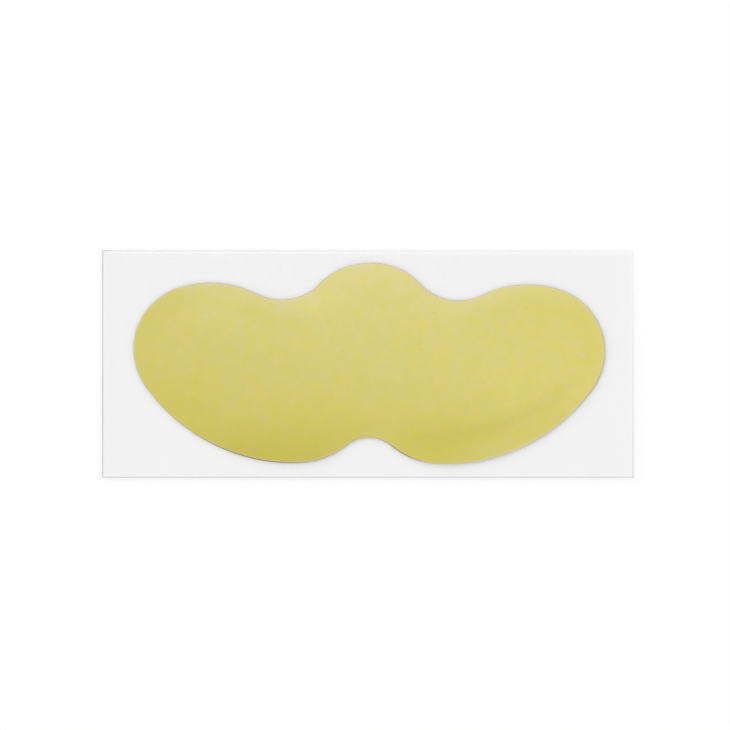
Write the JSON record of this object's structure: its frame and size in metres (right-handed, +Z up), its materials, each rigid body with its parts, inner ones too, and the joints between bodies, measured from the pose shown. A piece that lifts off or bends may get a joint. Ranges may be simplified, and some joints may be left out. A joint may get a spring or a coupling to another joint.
{
  "type": "nose strip",
  "caption": "Pore-cleaning nose strip: a wing-shaped yellow cloth with a dried adhesive coat, stuck to a clear rectangular release film.",
  "frame": {"origin": "centre of the release film's underside, which lies on the table", "axes": "+X along the film's length, +Y across it towards the strip's crown, +Z up out of the cloth face"},
  "size_m": [0.08, 0.0342, 0.0006],
  "materials": {
    "film": "clear, glossy",
    "gel": "dried gel, semi-gloss, amber green",
    "cloth": "fine nonwoven, satin, pale yellow"
  },
  "bodies": {
    "root": {"release_film": "film", "adhesive_gel": "gel", "cloth_strip": "cloth"}
  },
  "joints": []
}
